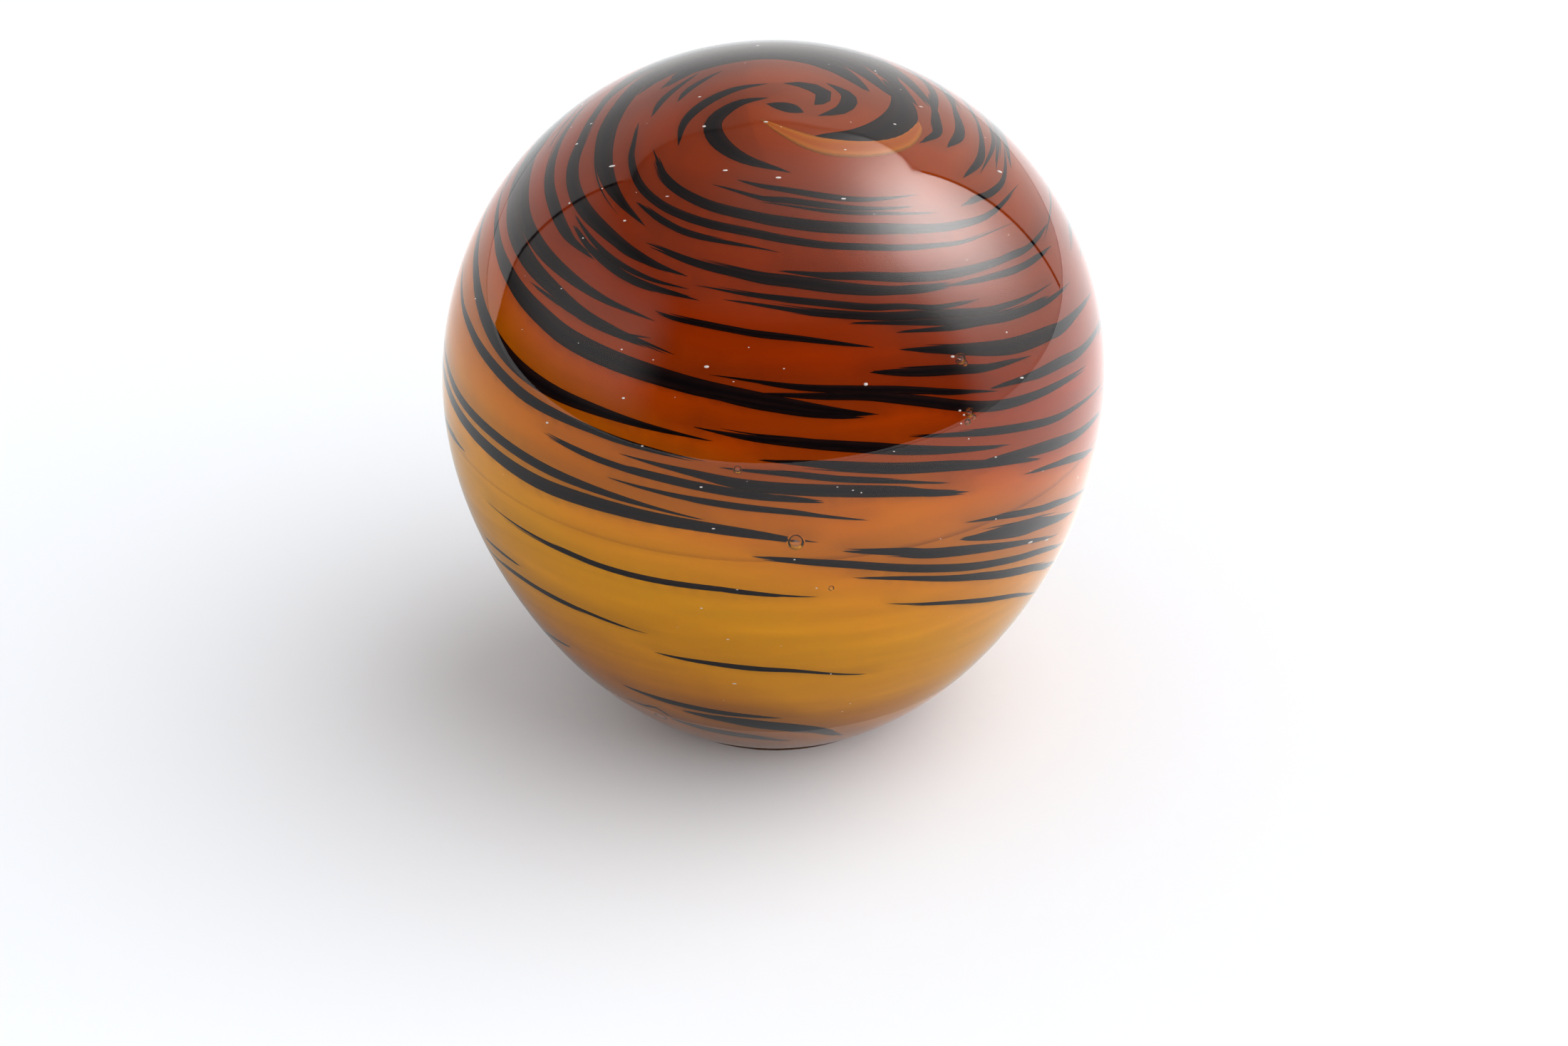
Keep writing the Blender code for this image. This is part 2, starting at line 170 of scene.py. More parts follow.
LOWER = [
    (1.6, [(36, 94.9), (45, 96.9), (58, 100.5), (65, 102.5), (82, 107.4)]),
    (3.8, [(35, 98.2), (45, 100.4), (52, 102.1), (58, 103.8), (72, 108.2)]),
    (2.5, [(12, 95.4), (22, 97.3), (28, 99.1), (35, 100.7), (42, 102.5), (52, 105.5),
           (66, 110.2)]),
    (2.0, [(-4, 95.8), (5, 96.9), (15, 98.8), (28, 102.4), (38, 105.3), (50, 108.4), (61, 111.4),
           (76, 116.6)]),
    (2.0, [(14, 101.4), (25, 103.8), (38, 107.7), (44, 109.6), (56, 113.5), (67, 117.8),
           (76, 121.5)]),
    (1.5, [(-64, 101.9), (-45, 102.7), (-35, 103.2), (-15, 103.4), (-5, 103.8), (8, 105.1)]),
    (1.3, [(21, 108.7), (33, 112.0), (44, 115.5), (56, 119.7), (70, 125.8)]),
    (1.0, [(-72, 113.6), (-63, 113.1), (-56, 112.8)]),
    (1.4, [(-76, 117.6), (-61, 116.5), (-50, 116.2), (-39, 116.4), (-25, 117.2)]),
    (1.5, [(-25, 122.0), (-13, 122.6), (-3, 123.3), (6, 124.2), (20, 127.0)]),
    (1.2, [(-68, 134.4), (-60, 132.2), (-51, 131.0)]),
    (1.6, [(-104, 98.2), (-86, 96.5), (-71, 95.5)]),
    (1.9, [(-39, 136.2), (-28, 137.2), (-17, 137.9), (-6, 138.5), (2, 139.1)]),
    (3.8, [(-24, 139.8), (-13, 140.6), (-6, 141.4), (4, 143.0), (13, 145.6), (22, 150.6)]),
    (0.9, [(-43, 142.3), (-36, 142.5), (-32, 141.6), (-28, 144.6)]),
    (2.6, [(-30, 144.6), (-20, 146.2), (-8, 147.5), (5, 149.9)]),
]
REAR = [
    (3.2, [(96, 35), (140, 39), (190, 41), (236, 42)]),
    (2.6, [(92, 46), (130, 49), (180, 52), (240, 55)]),
    (3.4, [(88, 64), (130, 68), (180, 73), (244, 78)]),
    (2.8, [(92, 77), (130, 81), (180, 86), (236, 91)]),
    (2.2, [(84, 97), (120, 100), (170, 104), (220, 108)]),
    (2.0, [(110, 122), (150, 128), (200, 132)]),
    (2.6, [(170, 46), (205, 50), (240, 53.5), (262, 56)]),
    (3.0, [(176, 57), (210, 61), (250, 65.5)]),
    (2.2, [(168, 63), (200, 67), (240, 72)]),
    (2.6, [(186, 73.5), (220, 77.5), (256, 82)]),
    (1.8, [(180, 82), (215, 86), (252, 90)]),
    (1.6, [(196, 95), (225, 98), (250, 100)]),
]
REAR_FILL = 70                 # more streaks between them, thinning out downwards
REAR_TOP = 24.0                # polar angle of the highest of them
REAR_SPAN = 88.0               # and how much lower the lowest may start
REAR_STARTS = (76.0, 200.0)    # azimuths
REAR_END = 262.0
REAR_LENGTHS = (34.0, 90.0)
REAR_SLOPES = (0.08, 0.15)     # how much lower for each degree around
REAR_BOW = 0.8
REAR_WIDTHS = (0.9, 3.0)
# Broad arcs behind the crown: their (azimuth, polar) points, and how much lower each one lies.
CROWN_ARC = [(96, 17.0), (140, 13.5), (185, 13.5), (232, 17.0), (256, 21.0)]
CROWN_ARC_STEPS = (0.0, 4.5, 9.0, 13.5)
CROWN_ARC_WIDTH = 6.5

# ---- bubbles: azimuth, polar, share of the way from the colour to the outside, diameter -------
BUBBLES = [
    (3.7, 91.8, 0.22, 2.0 * MM),
    (-32.5, 144.6, 0.20, 1.7 * MM),
    (-6.2, 78.2, 0.30, 1.0 * MM),
    (36.6, 64.2, 0.45, 1.3 * MM),
    (37.8, 65.2, 0.35, 0.7 * MM),
    (36.3, 73.4, 0.40, 1.1 * MM),
    (35.2, 74.6, 0.50, 0.8 * MM),
    (37.6, 74.6, 0.30, 0.6 * MM),
    (9.9, 101.6, 0.30, 0.7 * MM),
]
# The larger specks of trapped gas, whitish as painted glints: azimuth, polar, length, width (mm).
SPECKS = [
    (-63.7, 33.0, 0.75, 0.26), (-20.3, 25.0, 0.55, 0.24), (-44.0, 40.0, 0.36, 0.22),
    (-53.3, 46.0, 0.22, 0.16), (-13.3, 61.3, 0.55, 0.34), (-35.7, 33.1, 0.42, 0.12),
    (-42.0, 18.0, 0.40, 0.30), (-72.0, 13.5, 0.36, 0.18), (1.7, 26.6, 0.60, 0.26),
    (23.5, 31.6, 0.50, 0.20), (34.0, 22.3, 0.30, 0.14), (70.2, 22.7, 0.36, 0.20),
    (84.5, 43.2, 0.70, 0.36), (95.0, 26.4, 0.50, 0.16), (17.7, 64.8, 0.46, 0.40),
    (50.2, 63.5, 0.24, 0.20), (-28.3, 69.0, 0.34, 0.28), (-12.5, 82.0, 0.34, 0.20),
    (21.3, 76.9, 0.26, 0.12), (36.9, 78.6, 0.22, 0.16), (13.8, 83.1, 0.24, 0.14),
    (3.5, 95.5, 0.24, 0.18), (41.9, 95.5, 0.24, 0.18), (52.5, 104.9, 0.80, 0.30),
    (58.5, 107.3, 0.70, 0.26), (2.0, 61.0, 0.20, 0.16), (-5.0, 57.5, 0.18, 0.14),
    (36.2, 63.6, 0.45, 0.30), (37.3, 64.6, 0.50, 0.36), (38.2, 65.4, 0.30, 0.22),
    (35.5, 73.0, 0.34, 0.24), (36.8, 74.2, 0.40, 0.24), (34.8, 75.0, 0.26, 0.20),
]
SEEDS = 120                    # smaller specks
SEED_SIZES = (0.04, 0.05, 0.06, 0.09, 0.13)    # half their width, mm
SEED_STRETCH = (1.0, 2.2)      # how much longer than wide

# ---- how a streak is drawn --------------------------------------------------
# A leaf's cross-section: (place from one edge to the other, whether it is the side in the glass).
LEAF_SECTION = ((-1.0, False), (-0.55, False), (0.0, False), (0.55, False), (1.0, False),
                (0.55, True), (0.0, True), (-0.55, True))
LEAF_ROOT = 0.08 * MM          # depth of its underside in the colour
LEAF_STEP = 1.6                # degrees between its cross-sections
LEAF_TAPER = 0.85              # below 1 its ends are blunter than a sine's
STREAK_LIFT = 0.02 * MM
STREAK_CROWN = 0.16            # height of a body's arched top, mm
BODY_WIDTH = 0.87              # of the streak's width
BODY_FATTEST = (0.42, 0.56)    # share of its length where the body is widest
# The needles at its two ends: widths, starts and ends, as shares of the streak's own.
NEEDLES = (((0.22, 0.40), (0.45, 0.72), (0.86, 1.00)),
           ((0.20, 0.36), (0.00, 0.12), (0.30, 0.55)))
NEEDLE_SHIFT = 1.35            # farthest a needle lies to the side, in half widths
NEEDLE_CROWN = 0.10            # mm
MORE_NEEDLES = (1.5, 2.4)      # widths above which a streak has one more pair
HAIRS = 2
HAIRY_WIDTH = 1.2              # narrower streaks have no hairs
HAIR_WIDTH = 0.28              # degrees
HAIR_CROWN = 0.05              # mm
# Thin black glass and painted shadow over the colour next to a streak, mostly above it, in degrees
# and strengths.
SMOKE_SHADOW_ABOVE = 2.2              # its reach above a streak, besides half the streak's width
SMOKE_SHADOW_BELOW = 0.7
SMOKE_SHADOW_FULL_WIDTH = 2.4         # narrower streaks have less of it
SMOKE_SHADOW_CROWN = 0.55
SMOKE_SHADOW_BODY = 0.8

# ---- colours ----------------------------------------------------------------
# From the base to the crown. The darker browns at the base are partly the glass's own colour and
# partly painted shade near the ground.
COLOURS = [
    (0.00, (0.31, 0.098, 0.002)),
    (0.08, (0.49, 0.168, 0.003)),
    (0.20, (0.74, 0.335, 0.003)),
    (0.32, (0.77, 0.362, 0.002)),
    (0.40, (0.77, 0.315, 0.002)),
    (0.47, (0.67, 0.215, 0.001)),
    (0.55, (0.61, 0.165, 0.001)),
    (0.62, (0.46, 0.072, 0.0008)),
    (0.70, (0.36, 0.042, 0.001)),
    (0.78, (0.31, 0.040, 0.0015)),
    (0.88, (0.26, 0.038, 0.003)),
    (0.95, (0.35, 0.064, 0.006)),
    (1.00, (0.40, 0.080, 0.010)),
]
COLOUR_HEIGHTS = (0.012, 0.090)    # of the first and the last colour, m
COLOUR_TILT = (0.25, 0.0, 1.0)     # across the layers: the red reaches lower on the right,
FAR_RIGHT = (0.014, 0.034)         # most of all between these places
FAR_RIGHT_RISE = 0.006
CLOUD_RISE = 0.012                 # how far the slow unevenness moves the layers
THREAD_TONE = (0.92, 1.07)         # darkest and lightest of the faint threads
SMOKE_SHADOW_COLOUR = (0.055, 0.016, 0.008)      # thin black glass and painted streak shadow over the colour
SMOKE_SHADOW_SHARE = 0.32
BLACK_HEART = (0.006, 0.004, 0.005)
BLACK_EDGE = (0.045, 0.016, 0.012)
FOLD_HEART = (0.38, 0.095, 0.012)
FOLD_EDGE = (0.52, 0.195, 0.020)

# ---- view and light: degrees, and strengths of light ------------------------
VIEW_ELEVATION = 28.0
VIEW_DISTANCE = 8.0 * BODY_R
LENS = 60.6                    # mm, with the sensor's width
SENSOR = 36.0
AIM_BELOW = 3.22               # how far the camera aims below the glass's middle
AIM_RIGHT = 1.10 * MM          # and how far it stands to its right
GAMMA = 0.85                   # the contrast of a camera's own picture

PAPER_COLOUR = (0.675, 0.690, 0.715)
PAPER_END = 1.5                # half the paper's width, m
PAPER_DEPTH = -0.0001          # just under the glass's base
KEY_AIM = (88.0, 50.0)         # azimuth and elevation
KEY_DISTANCE = 3.2
KEY_SIZE = 4.4
KEY_POWER = 116.0
KEY_COLOUR = (0.99, 0.995, 1.0)

# What only the glass's reflections see.
ROOM_R = 3.0
ROOM_COLOUR = (1.0, 0.99, 0.985)
LAMP = (101.0, 50.0)           # azimuth and elevation of the lamp's middle
LAMP_GLOW = 9.6
LAMP_ASIDE = 20.0              # how far its soft oval reaches to the sides, up and down
LAMP_UP = 15.5
LAMP_DOWN = 28.0
HALO = (100.0, 28.0)           # azimuth and polar angle
HALO_GLOW = 1.4
HALO_REACH = 30.0
TENT_GLOW = 1.4
TENT_LEFT = -119.5             # edges of the tent's opening
TENT_RIGHT = 124.5
TENT_TOP = 48.0
SHEEN_COLOUR = (0.98, 0.99, 1.0)
SHEEN_START = 0.024            # the reflected paper begins this far from the middle, m
SHEEN_HEIGHT = 0.02 * MM
SHEEN_FROM = 108.0             # azimuth that the paper is lit from
SHEEN_GLOW = 1.35
SHEEN_TOWARD = 0.95            # brighter toward the lamp, dimmer away from it
SHEEN_AWAY = 0.45
SHADE_REACH = 0.090            # how far the glass's own shade fades out, m: longest away from
SHADE_SHIFT = 0.030            # the lamp
SHADE_GLOW = 0.32              # share of the glow left next to the glass
SKY_HEIGHTS = (0.45, 0.88)     # sines of the elevations where the sky starts and stops to dim
SKY_GLOW = (1.3, 0.65)


# ---- shape of the glass -----------------------------------------------------

def reach(polar, layer):
    """How far a layer is from the middle."""
    radius, swell = layer
    low = np.maximum(0.0, -np.cos(polar)) ** 2
    return radius * (1.0 + swell[0] * low + swell[1] * low ** 2)


def aim(azimuth, polar):
    a = math.radians(azimuth)
    p = math.radians(polar)
    return np.array([math.sin(a) * math.sin(p), -math.cos(a) * math.sin(p), math.cos(p)])


def dial(x, y):
    """Direction of a crown point."""
    return aim(math.degrees(math.atan2(x, y)), math.hypot(x, y))


def unit(v):
    return v / np.linalg.norm(v, axis=-1, keepdims=True)


def on_layer(directions, layer, lift=0.0):
    """Points of a layer in the given directions, raised by lift."""
    d = unit(directions)
    polar = np.arccos(np.clip(d[..., 2], -1.0, 1.0))
    return MIDDLE + d * (reach(polar, layer) + lift)[..., None]


def along(knots, share):
    """Smooth unit vector through the knots (Catmull-Rom) at each share from 0 to 1."""
    knots = np.asarray(knots)
    spans = len(knots) - 1
    place = np.clip(np.asarray(share) * spans, 0.0, spans - 1e-9)
    first = place.astype(int)
    t = (place - first)[..., None]
    padded = np.vstack([2 * knots[0] - knots[1], knots, 2 * knots[-1] - knots[-2]])
    p0, p1, p2, p3 = (padded[first + k] for k in range(4))
    return unit(0.5 * (2 * p1 + (p2 - p0) * t + (2 * p0 - 5 * p1 + 4 * p2 - p3) * t ** 2
                       + (3 * p1 - p0 - 3 * p2 + p3) * t ** 3))


# ---- meshes -----------------------------------------------------------------

def new_mesh(name, points, faces, material):
    mesh = bpy.data.meshes.new(name)
    mesh.from_pydata([tuple(p) for p in points], [], faces)
    mesh.validate()
    mesh.update()
    for face in mesh.polygons:
        face.use_smooth = True
    mesh.materials.append(material)
    piece = bpy.data.objects.new(name, mesh)
    bpy.context.scene.collection.objects.link(piece)
    return piece


def set_values(piece, name, values):
    """A per-vertex number that a material reads with an Attribute node."""
    layer = piece.data.attributes.new(name, "FLOAT", "POINT")
    layer.data.foreach_set("value", np.asarray(values, dtype=np.float32))


def closed_faces(first, rings, columns):
    """Faces of a closed shape whose points are one end, rings of points, and the other end."""
    end = first + 1 + rings * columns
    faces = []
    for c in range(columns):
        n = (c + 1) % columns
        faces.append((first, first + 1 + c, first + 1 + n))
        faces.append((end - columns + c, end, end - columns + n))
        for r in range(rings - 1):
            a = first + 1 + r * columns
            faces.append((a + c, a + columns + c, a + columns + n, a + n))
    return faces


def ring_mesh(name, top, rings, bottom, material):
    points = [top] + [p for ring in rings for p in ring] + [bottom]
    return new_mesh(name, points, closed_faces(0, len(rings), len(rings[0])), material)


def circle(columns):
    a = np.linspace(0.0, 2 * math.pi, columns, endpoint=False)
    return np.stack([np.sin(a), -np.cos(a)], axis=1)


def ring_at(around, out, z):
    return np.column_stack([around * out, np.full(len(around), z)])


def ring_on(layer, polar, around, lift=0.0):
    out = float(reach(polar, layer)) + lift
    return ring_at(around, out * math.sin(polar), MIDDLE[2] + out * math.cos(polar))


def above_middle(height):
    return MIDDLE + np.array([0.0, 0.0, height])


def rim_polar(layer, height):
    """Polar angle, in radians, where a layer comes down to a height."""
    above, below = math.radians(110.0), math.pi
    for _ in range(50):
        middle = 0.5 * (above + below)
        if MIDDLE[2] + math.cos(middle) * float(reach(middle, layer)) > height:
            above = middle
        else:
            below = middle
    return 0.5 * (above + below)


def hand_made(points, amount):
    """Slow, slight waviness that a hand-shaped gather keeps."""
    d = unit(points - MIDDLE)
    wave = (np.sin(3.1 * d[:, 0] + 2.0 * d[:, 2] + 0.6) * np.cos(2.7 * d[:, 1] - 0.4)
            + 0.6 * np.sin(5.3 * d[:, 1] + 4.1 * d[:, 2]) * np.cos(4.6 * d[:, 0] + 1.1))
    return points + d * (amount * wave)[:, None]


def glass_body():
    around = circle(BODY_COLUMNS)
    rim = rim_polar(BODY, RIM_ROUND)
    rings = [hand_made(ring_on(BODY, polar, around), WAVINESS * math.sin(polar) ** 2)
             for polar in np.linspace(math.radians(1.5), rim, 100)]
    rim_out = float(reach(rim, BODY)) * math.sin(rim)
    for turn in np.linspace(0.2, 1.0, 6):
        bend = turn * math.pi / 2
        rings.append(ring_at(around, rim_out - 0.9 * RIM_ROUND * (1 - math.cos(bend)),
                             RIM_ROUND * (1 - math.sin(bend))))
    for share in (0.93, 0.75, 0.5, 0.25):
        rings.append(ring_at(around, rim_out * share, 0.0))
    piece = ring_mesh("clear_glass_body", above_middle(BODY_R), rings, np.zeros(3), clear_glass())
    piece.visible_shadow = False
    return piece


def colour_rings(start, end, count, lift):
    around = circle(COLOUR_COLUMNS)
    return [ring_on(COLOUR, polar, around, lift)
            for polar in np.linspace(math.radians(start), math.radians(end), count)]


def amber_core(streaks):
    rim = math.degrees(rim_polar(COLOUR, CORE_CLEARANCE))
    rings = colour_rings(3.0, 93.0, 40, -CORE_SUNK) + colour_rings(98.0, rim, 70, 0.0)
    foot = rings[-1]
    for share in (0.97, 0.8, 0.5, 0.2):
        ring = foot.copy()
        ring[:, :2] *= share
        ring[:, 2] = CORE_FOOT
        rings.append(ring)
    piece = ring_mesh("amber_core_glass", above_middle(COLOUR_R - CORE_SUNK), rings,
                      np.array([0.0, 0.0, CORE_FOOT]), colour_glass("amber_core_glass"))
    set_values(piece, "smoke_and_painted_shadow", smoke_and_painted_shadow(piece, streaks))
    return piece


def red_overlay(streaks):
    """The upper colour, a shell that lies over the core down to its thin lower edge."""
    rings = colour_rings(1.2, 97.0, 84, 0.0) + colour_rings(97.0, 1.2, 30, -OVERLAY_THICK)
    piece = ring_mesh("red_overlay_glass", above_middle(COLOUR_R), rings,
                      above_middle(COLOUR_R - OVERLAY_THICK), colour_glass("red_overlay_glass"))
    set_values(piece, "smoke_and_painted_shadow", smoke_and_painted_shadow(piece, streaks))
    return piece


# ---- streaks ----------------------------------------------------------------

class Strip:
    """Collects leaf-shaped strips into one mesh, with how near each point is to its leaf's edge."""

    def __init__(self):
        self.points = []
        self.faces = []
        self.edge = []

    def leaf(self, knots, width, start=0.0, end=1.0, shift=0.0, lift=STREAK_LIFT,
             crown=STREAK_CROWN, fattest=0.5):
        """One leaf along part of a path. shift moves it sideways in half widths of the path."""
        length = sum(math.degrees(math.acos(np.clip(a @ b, -1, 1)))
                     for a, b in zip(knots, knots[1:]))
        stations = int(np.clip(length * (end - start) / LEAF_STEP, 7, 64))
        share = np.linspace(start, end, stations)
        here = along(knots, share)
        ahead = (along(knots, np.minimum(share + 0.01, 1))
                 - along(knots, np.maximum(share - 0.01, 0)))
        side = unit(np.cross(here, ahead))
        u = np.linspace(0.0, 1.0, stations)
        body = np.sin(math.pi * u ** (math.log(0.5) / math.log(fattest))).clip(0.0) ** LEAF_TAPER
        half = 0.5 * math.radians(width) * body
        offset = shift * 0.5 * math.radians(width)

        first = len(self.points)
        rings = stations - 2
        for a, sunk in LEAF_SECTION:
            place = here + side * (half * a + offset)[:, None]
            if sunk:
                rise = -LEAF_ROOT * body
            else:
                rise = lift + crown * MM * np.sqrt(max(0.0, 1.0 - a * a)) * body
            self.points.extend(on_layer(place, COLOUR, rise)[1:-1])
            self.edge.extend([1.0 if sunk else abs(a)] * rings)
        tips = (here + side * offset)[[0, -1]]
        self.points.extend(on_layer(tips, COLOUR, lift))
        self.edge.extend([1.0, 1.0])

        start_tip = first + len(LEAF_SECTION) * rings
        for k in range(len(LEAF_SECTION)):
            row = first + k * rings
            next_row = first + (k + 1) % len(LEAF_SECTION) * rings
            self.faces.append((start_tip, row, next_row))
            self.faces.append((row + rings - 1, start_tip + 1, next_row + rings - 1))
            for s in range(rings - 1):
                self.faces.append((row + s, row + s + 1, next_row + s + 1, next_row + s))

    def piece(self, name, material):
        made = new_mesh(name, self.points, self.faces, material)
        shape = bmesh.new()
        shape.from_mesh(made.data)
        bmesh.ops.recalc_face_normals(shape, faces=shape.faces)
        shape.to_mesh(made.data)
        shape.free()
        set_values(made, "edge", self.edge)
        return made


def drawn(strips, knots, width, rng):
    """A streak as a drawn thread: a body, needles at its two ends and hairs beside it."""
    strips.leaf(knots, BODY_WIDTH * width, fattest=rng.uniform(*BODY_FATTEST))
    for _ in range(2 + sum(width > more for more in MORE_NEEDLES)):
        for widths, starts, ends in NEEDLES:
            start = rng.uniform(*starts)
            strips.leaf(knots, width * rng.uniform(*widths), start, rng.uniform(*ends),
                        rng.uniform(-NEEDLE_SHIFT, NEEDLE_SHIFT), STREAK_LIFT, NEEDLE_CROWN)
    if width > HAIRY_WIDTH:
        for _ in range(HAIRS):
            start = rng.uniform(0.05, 0.5)
            strips.leaf(knots, HAIR_WIDTH, start, start + rng.uniform(0.25, 0.45),
                        rng.choice((-1, 1)) * rng.uniform(3.0, 5.5) * width / 1.8,
                        0.5 * STREAK_LIFT, HAIR_CROWN)


def rear_rows(rng):
    """Streaks for the back, in the same slant as the front and thinning out downwards."""
    rows = []
    for _ in range(REAR_FILL):
        polar = REAR_TOP + REAR_SPAN * rng.random() ** 1.25
        start = rng.uniform(*REAR_STARTS)
        length = rng.uniform(*REAR_LENGTHS)
        slope = rng.uniform(*REAR_SLOPES)
        end = min(start + length, REAR_END)
        middle = 0.5 * (start + end)
        bow = rng.uniform(-REAR_BOW, REAR_BOW)
        rows.append((rng.uniform(*REAR_WIDTHS) * (1.15 - polar / 180.0),
                     [(start, polar), (middle, polar + slope * (middle - start) + bow),
                      (end, polar + slope * (end - start))]))
    return rows


def crown_back():
    """Broad dark arcs where the streaks run together behind the crown."""
    return [(CROWN_ARC_WIDTH, [(azimuth, polar + step) for azimuth, polar in CROWN_ARC])
            for step in CROWN_ARC_STEPS]


def streak_paths():
    """Every streak as (family, width, unit vectors)."""
    rng = random.Random(11)
    rows = [("crown", width, [dial(x, y) for x, y in knots]) for width, knots in CROWN]
    bands = (("shoulder", SHOULDER), ("waist", WAIST), ("lower", LOWER),
             ("rear", REAR + rear_rows(rng) + crown_back()))
    for family, listed in bands:
        rows += [(family, width, [aim(a, p) for a, p in knots]) for width, knots in listed]
    return rows


def smoke_and_painted_shadow(piece, streaks):
    """How much thin black glass and painted shadow lies on each point of the colour, mostly above a
    streak.
    """
    co = np.zeros(len(piece.data.vertices) * 3, np.float32)
    piece.data.vertices.foreach_get("co", co)
    look = unit(co.reshape(-1, 3) - MIDDLE)
    total = np.zeros(len(look))
    for family, width, knots in streaks:
        share = np.linspace(0.03, 0.97, 24)
        here = along(knots, share)
        ahead = along(knots, share + 0.01) - along(knots, share - 0.01)
        up = unit(np.cross(here, ahead))
        up *= np.where(up[:, 2] < 0, -1.0, 1.0)[:, None]
        half = 0.5 * width * np.sin(math.pi * share)
        dots = look @ here.T
        nearest = dots.argmax(axis=1)
        angle = np.degrees(np.arccos(np.clip(dots.max(axis=1), -1, 1)))
        above = ((look - here[nearest]) * up[nearest]).sum(axis=1) > 0
        away = np.maximum(0.0, angle - half[nearest])
        spread = np.where(above, SMOKE_SHADOW_ABOVE + 0.5 * width, SMOKE_SHADOW_BELOW)
        darkness = min(1.0, width / SMOKE_SHADOW_FULL_WIDTH)
        darkness *= SMOKE_SHADOW_CROWN if family == "crown" else SMOKE_SHADOW_BODY
        total += np.exp(-(away / spread) ** 2) * darkness
    return np.clip(total, 0.0, 1.0)


# ---- materials --------------------------------------------------------------

class Nodes:
    """Short way to add and join shader nodes. Settings go on the sockets of the same name."""

    def __init__(self, name, **settings):
        self.material = bpy.data.materials.new(name)
        self.material.use_nodes = True
        self.tree = self.material.node_tree
        self.shader = self.tree.nodes["Principled BSDF"]
        self.value(self.shader, **settings)

    def add(self, kind, **settings):
        node = self.tree.nodes.new(kind)
        for key, value in settings.items():
            setattr(node, key, value)
        return node

    def join(self, source, target):
        self.tree.links.new(source, target)

    def value(self, node, **inputs):
        for key, value in inputs.items():
            node.inputs[key.replace("_", " ")].default_value = value

    def place(self):
        return self.add("ShaderNodeTexCoord").outputs["Object"]

    def vector(self, operation, source, other, output="Vector"):
        node = self.add("ShaderNodeVectorMath", operation=operation)
        node.inputs[1].default_value = other
        self.join(source, node.inputs[0])
        return node.outputs[output]

    def math(self, operation, first, second):
        """second is a number or a socket."""
        node = self.add("ShaderNodeMath", operation=operation)
        self.join(first, node.inputs[0])
        if isinstance(second, float):
            node.inputs[1].default_value = second
        else:
            self.join(second, node.inputs[1])
        return node.outputs[0]

    def noise(self, source, **settings):
        node = self.add("ShaderNodeTexNoise")
        self.value(node, **settings)
        self.join(source, node.inputs["Vector"])
        return node.outputs["Fac"]

    def fit(self, source, before, after=(0.0, 1.0)):
        node = self.add("ShaderNodeMapRange")
        self.value(node, From_Min=before[0], From_Max=before[1], To_Min=after[0], To_Max=after[1])
        self.join(source, node.inputs["Value"])
        return node.outputs["Result"]

    def painted(self, name):
        """A number that set_values gave each vertex."""
        return self.add("ShaderNodeAttribute", attribute_name=name).outputs["Fac"]

    def mix(self, share, first, second):
        """A colour from first to second, which are colours or sockets."""
        node = self.add("ShaderNodeMix", data_type="RGBA")
        self.join(share, node.inputs[0])
        for socket, colour in ((node.inputs[6], first), (node.inputs[7], second)):
            if isinstance(colour, tuple):
                socket.default_value = (*colour, 1.0)
            else:
                self.join(colour, socket)
        return node.outputs[2]

    def ramp(self, share, stops):
        node = self.add("ShaderNodeValToRGB")
        elements = node.color_ramp.elements
        while len(elements) > 1:
            elements.remove(elements[-1])
        elements[0].position = stops[0][0]
        elements[0].color = (*stops[0][1], 1.0)
        for place, colour in stops[1:]:
            elements.new(place).color = (*colour, 1.0)
        self.join(share, node.inputs["Fac"])
        return node.outputs["Color"]

    def coloured(self, colour):
        self.join(colour, self.shader.inputs["Base Color"])
        return self.material


def clear_glass():
    return Nodes("clear_glass", Base_Color=(1.0, 1.0, 1.0, 1.0), Roughness=0.0, IOR=1.5,
                 Transmission_Weight=1.0).material


def colour_glass(name):
    """Amber below, through orange to brick red above, in slanting layers with faint streaks."""
    n = Nodes(name, Roughness=0.6, Specular_IOR_Level=0.0)
    place = n.place()
    tilted = n.vector("DOT_PRODUCT", place, COLOUR_TILT, output="Value")
    across = n.add("ShaderNodeSeparateXYZ")
    n.join(place, across.inputs[0])
    raised = n.math("ADD", tilted, n.fit(across.outputs["X"], FAR_RIGHT, (0.0, FAR_RIGHT_RISE)))
    clouds = n.noise(place, Scale=38.0, Detail=3.0, Roughness=0.5, Distortion=0.4)
    layers = n.math("ADD", n.math("MULTIPLY", clouds, CLOUD_RISE), raised)
    colours = n.ramp(n.fit(layers, COLOUR_HEIGHTS), COLOURS)

    threads = n.noise(n.vector("MULTIPLY", place, (0.10, 0.10, 1.0)), Scale=420.0, Detail=4.0,
                      Roughness=0.55, Distortion=0.3)
    toned = n.add("ShaderNodeVectorMath", operation="SCALE")
    n.join(colours, toned.inputs[0])
    n.join(n.fit(threads, (0.3, 0.7), THREAD_TONE), toned.inputs["Scale"])
    # painted shadow of the streaks, with thin black glass, darkens the colour here
    smoke_shadow = n.math("MULTIPLY", n.painted("smoke_and_painted_shadow"), SMOKE_SHADOW_SHARE)
    return n.coloured(n.mix(smoke_shadow, toned.outputs[0], SMOKE_SHADOW_COLOUR))


def black_glass():
    """Near-black inside a streak, thinning to dark brown at its edge."""
    n = Nodes("black_glass", Roughness=0.5, Specular_IOR_Level=0.0)
    threads = n.noise(n.vector("MULTIPLY", n.place(), (0.12, 0.12, 1.0)), Scale=1500.0, Detail=3.0)
    thin = n.math("MULTIPLY", n.painted("edge"), threads)
    return n.coloured(n.mix(thin, BLACK_HEART, BLACK_EDGE))


def fold_glass():
    n = Nodes("fold_glass", Roughness=0.5, Specular_IOR_Level=0.0)
    return n.coloured(n.mix(n.math("POWER", n.painted("edge"), 1.6), FOLD_HEART, FOLD_EDGE))


